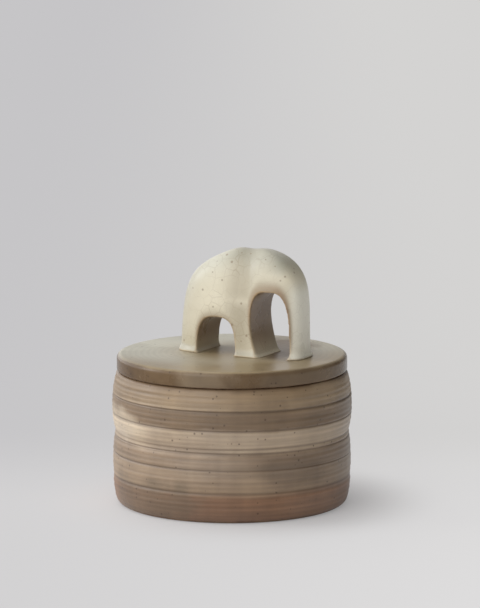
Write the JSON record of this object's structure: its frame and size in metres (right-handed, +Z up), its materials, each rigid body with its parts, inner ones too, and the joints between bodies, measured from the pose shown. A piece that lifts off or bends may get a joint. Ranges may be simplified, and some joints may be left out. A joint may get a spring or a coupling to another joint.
{
  "type": "covered jar",
  "caption": "Squat cylindrical banded stoneware jar with a flat lift-off lid and a pierced two-arch cream handle.",
  "frame": {"origin": "centre of the jar's foot, on the surface it stands on", "axes": "+Z up along the jar's axis, -Y towards the side the picture shows, +X to its right"},
  "size_m": [0.1322, 0.1322, 0.1418],
  "materials": {
    "jar_glaze": "satin",
    "lid_glaze": "satin",
    "handle_glaze": "gloss",
    "brass": "satin",
    "washer_leather": "matte"
  },
  "bodies": {
    "jar": {"jar_body": "jar_glaze"},
    "cover": {"lid": "lid_glaze", "handle": "handle_glaze", "stud_left": "brass", "soft_washer_left": "washer_leather", "flat_washer_left": "brass", "nut_left": "brass", "stud_middle": "brass", "soft_washer_middle": "washer_leather", "flat_washer_middle": "brass", "nut_middle": "brass"}
  },
  "joints": [
    {"name": "lid_lift", "type": "slide", "parent": "jar", "child": "cover", "axis": [0, 0, 1], "range_m": [0, 0.08]}
  ]
}
